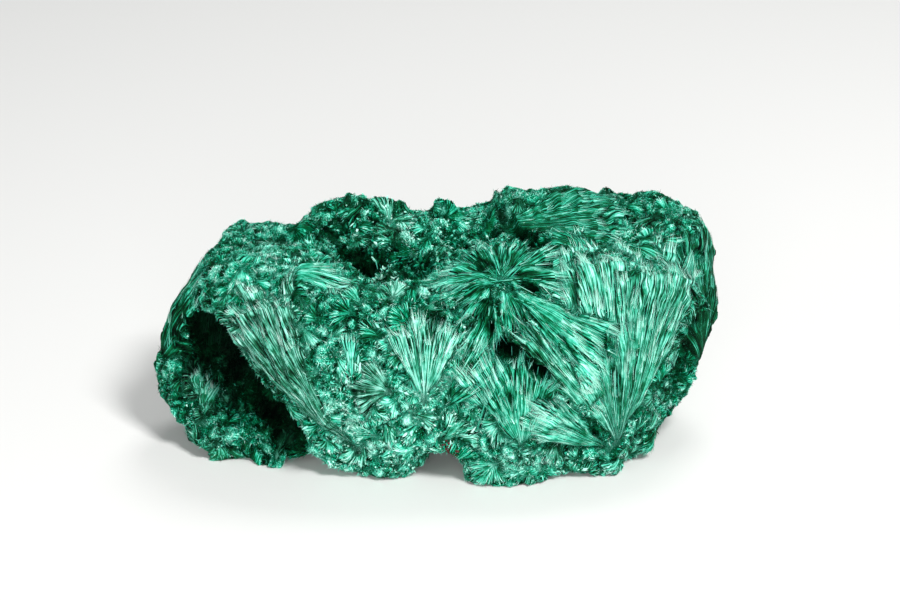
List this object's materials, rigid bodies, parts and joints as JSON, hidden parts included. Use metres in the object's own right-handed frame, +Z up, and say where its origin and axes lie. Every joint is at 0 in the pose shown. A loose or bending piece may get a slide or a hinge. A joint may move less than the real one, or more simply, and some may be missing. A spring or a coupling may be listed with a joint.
{
  "type": "velvet malachite specimen",
  "caption": "Hand specimen of velvet malachite: one intergrown mass of fibrous green sprays, with a dark pocket on top, a cavern under its left ledge and small arches below",
  "frame": {"origin": "middle of the base, on the surface that the specimen rests on", "axes": "+X along the length, with the great fan at +X; -Y is the display side; +Z up"},
  "size_m": [0.082, 0.0428, 0.0325],
  "materials": {
    "malachite": "silky, fibrous"
  },
  "bodies": {
    "root": {"malachite_specimen": "malachite"}
  },
  "joints": []
}
